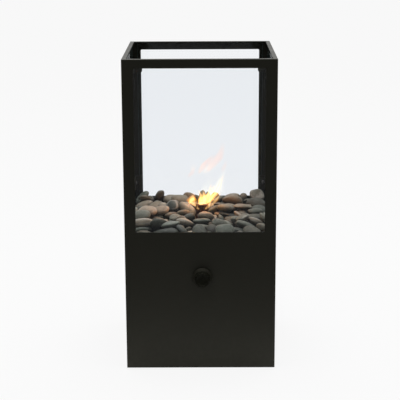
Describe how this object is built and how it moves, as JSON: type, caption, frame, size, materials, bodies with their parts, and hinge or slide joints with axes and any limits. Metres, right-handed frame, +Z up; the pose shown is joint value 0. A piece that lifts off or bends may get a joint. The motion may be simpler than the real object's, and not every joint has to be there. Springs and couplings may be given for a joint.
{
  "type": "outdoor gas lantern heater",
  "caption": "Square free-standing gas fire lantern: black sheet-steel housing, glazed open-topped fire chamber with pebbles round a burner, and a front knob for the gas.",
  "frame": {"origin": "on the floor, under the middle of the bounding box, which reaches from the rear panel to the knob's face", "axes": "+Z up to the open rim, -Y to the front with the knob, +X to the right as seen from the front"},
  "size_m": [0.24, 0.256, 0.505],
  "materials": {
    "black_coat": "satin",
    "clear_glass": "gloss",
    "zinc_plate": "satin",
    "stainless": "satin",
    "scorched_steel": "matte",
    "brass": "satin",
    "black_plastic": "matte",
    "black_rubber": "matte",
    "pebble_stone": "matte",
    "can_paint": "satin"
  },
  "bodies": {
    "root": {"burner_gauze": "scorched_steel", "burner_head": "scorched_steel", "burner_locknut": "zinc_plate", "burner_tube": "stainless", "clip_screw_front_left_lower": "zinc_plate", "clip_screw_front_left_upper": "zinc_plate", "clip_screw_front_right_lower": "zinc_plate", "clip_screw_front_right_upper": "zinc_plate", "clip_screw_rear_left_lower": "zinc_plate", "clip_screw_rear_left_upper": "zinc_plate", "clip_screw_rear_right_lower": "zinc_plate", "clip_screw_rear_right_upper": "zinc_plate", "front_foot_left": "black_rubber", "front_foot_right": "black_rubber", "front_glass": "clear_glass", "front_panel": "black_coat", "gland_nut": "brass", "glass_clip_front_left_lower": "black_coat", "glass_clip_front_left_upper": "black_coat", "glass_clip_front_right_lower": "black_coat", "glass_clip_front_right_upper": "black_coat", "glass_clip_rear_left_lower": "black_coat", "glass_clip_rear_left_upper": "black_coat", "glass_clip_rear_right_lower": "black_coat", "glass_clip_rear_right_upper": "black_coat", "injector": "brass", "inlet_collar": "black_plastic", "inlet_seal": "black_rubber", "left_glass": "clear_glass", "left_panel": "black_coat", "neck_nut": "brass", "panel_bush": "black_plastic", "pebble_bed": "pebble_stone", "pebble_tray": "stainless", "rear_foot_left": "black_rubber", "rear_foot_right": "black_rubber", "rear_glass": "clear_glass", "rear_panel": "black_coat", "right_glass": "clear_glass", "right_panel": "black_coat", "strap_screw_left": "zinc_plate", "strap_screw_right": "zinc_plate", "tray_bracket_front": "zinc_plate", "tray_bracket_left": "zinc_plate", "tray_bracket_rear": "zinc_plate", "tray_bracket_right": "zinc_plate", "tray_screw_front": "zinc_plate", "tray_screw_left": "zinc_plate", "tray_screw_rear": "zinc_plate", "tray_screw_right": "zinc_plate", "valve_body": "brass", "valve_strap": "zinc_plate"},
    "control": {"valve_spindle": "brass", "shaft_coupler": "brass", "control_shaft": "zinc_plate", "knob": "black_plastic", "knob_screw": "zinc_plate"},
    "cartridge": {"gas_cartridge": "can_paint"}
  },
  "joints": [
    {"name": "knob_turn", "type": "hinge", "parent": "root", "child": "control", "pos_m": [0.003, 0.008, 0.156], "axis": [0, -1, 0], "range_deg": [0, 270]},
    {"name": "cartridge_turn", "type": "hinge", "parent": "root", "child": "cartridge", "pos_m": [0.003, 0.008, 0.083], "axis": [0, 0, -1], "range_deg": [0, 1800]}
  ]
}
